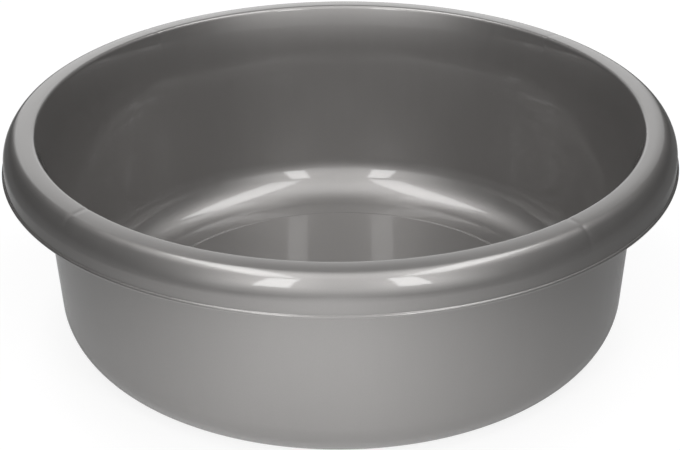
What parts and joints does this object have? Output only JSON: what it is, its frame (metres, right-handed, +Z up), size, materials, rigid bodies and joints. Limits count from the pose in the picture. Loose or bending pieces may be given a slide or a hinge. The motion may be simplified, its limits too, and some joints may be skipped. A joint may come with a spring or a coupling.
{
  "type": "washing up bowl",
  "caption": "Round plastic washing up bowl with a wide rolled rim turned down into a skirt, a drafted side wall, a deep rounded heel and a slightly raised floor.",
  "frame": {"origin": "centre of the flat ring that the bowl stands on, at the table's surface", "axes": "+Z up along the bowl's axis; -Y towards the front of the picture; one rim gusset lies 41.4 degrees from +X"},
  "size_m": [0.38, 0.38, 0.128],
  "materials": {
    "grey_plastic": "semi-gloss injection moulded polypropylene, silver grey"
  },
  "bodies": {
    "root": {"floor_panel": "grey_plastic", "floor_step": "grey_plastic", "standing_ring": "grey_plastic", "heel_curve": "grey_plastic", "side_back_right": "grey_plastic", "side_back_left": "grey_plastic", "side_front_left": "grey_plastic", "side_front_right": "grey_plastic", "flared_mouth": "grey_plastic", "rolled_rim": "grey_plastic", "rim_skirt": "grey_plastic", "rim_bead": "grey_plastic", "rim_gussets": "grey_plastic", "gate_mark": "grey_plastic"}
  },
  "joints": []
}
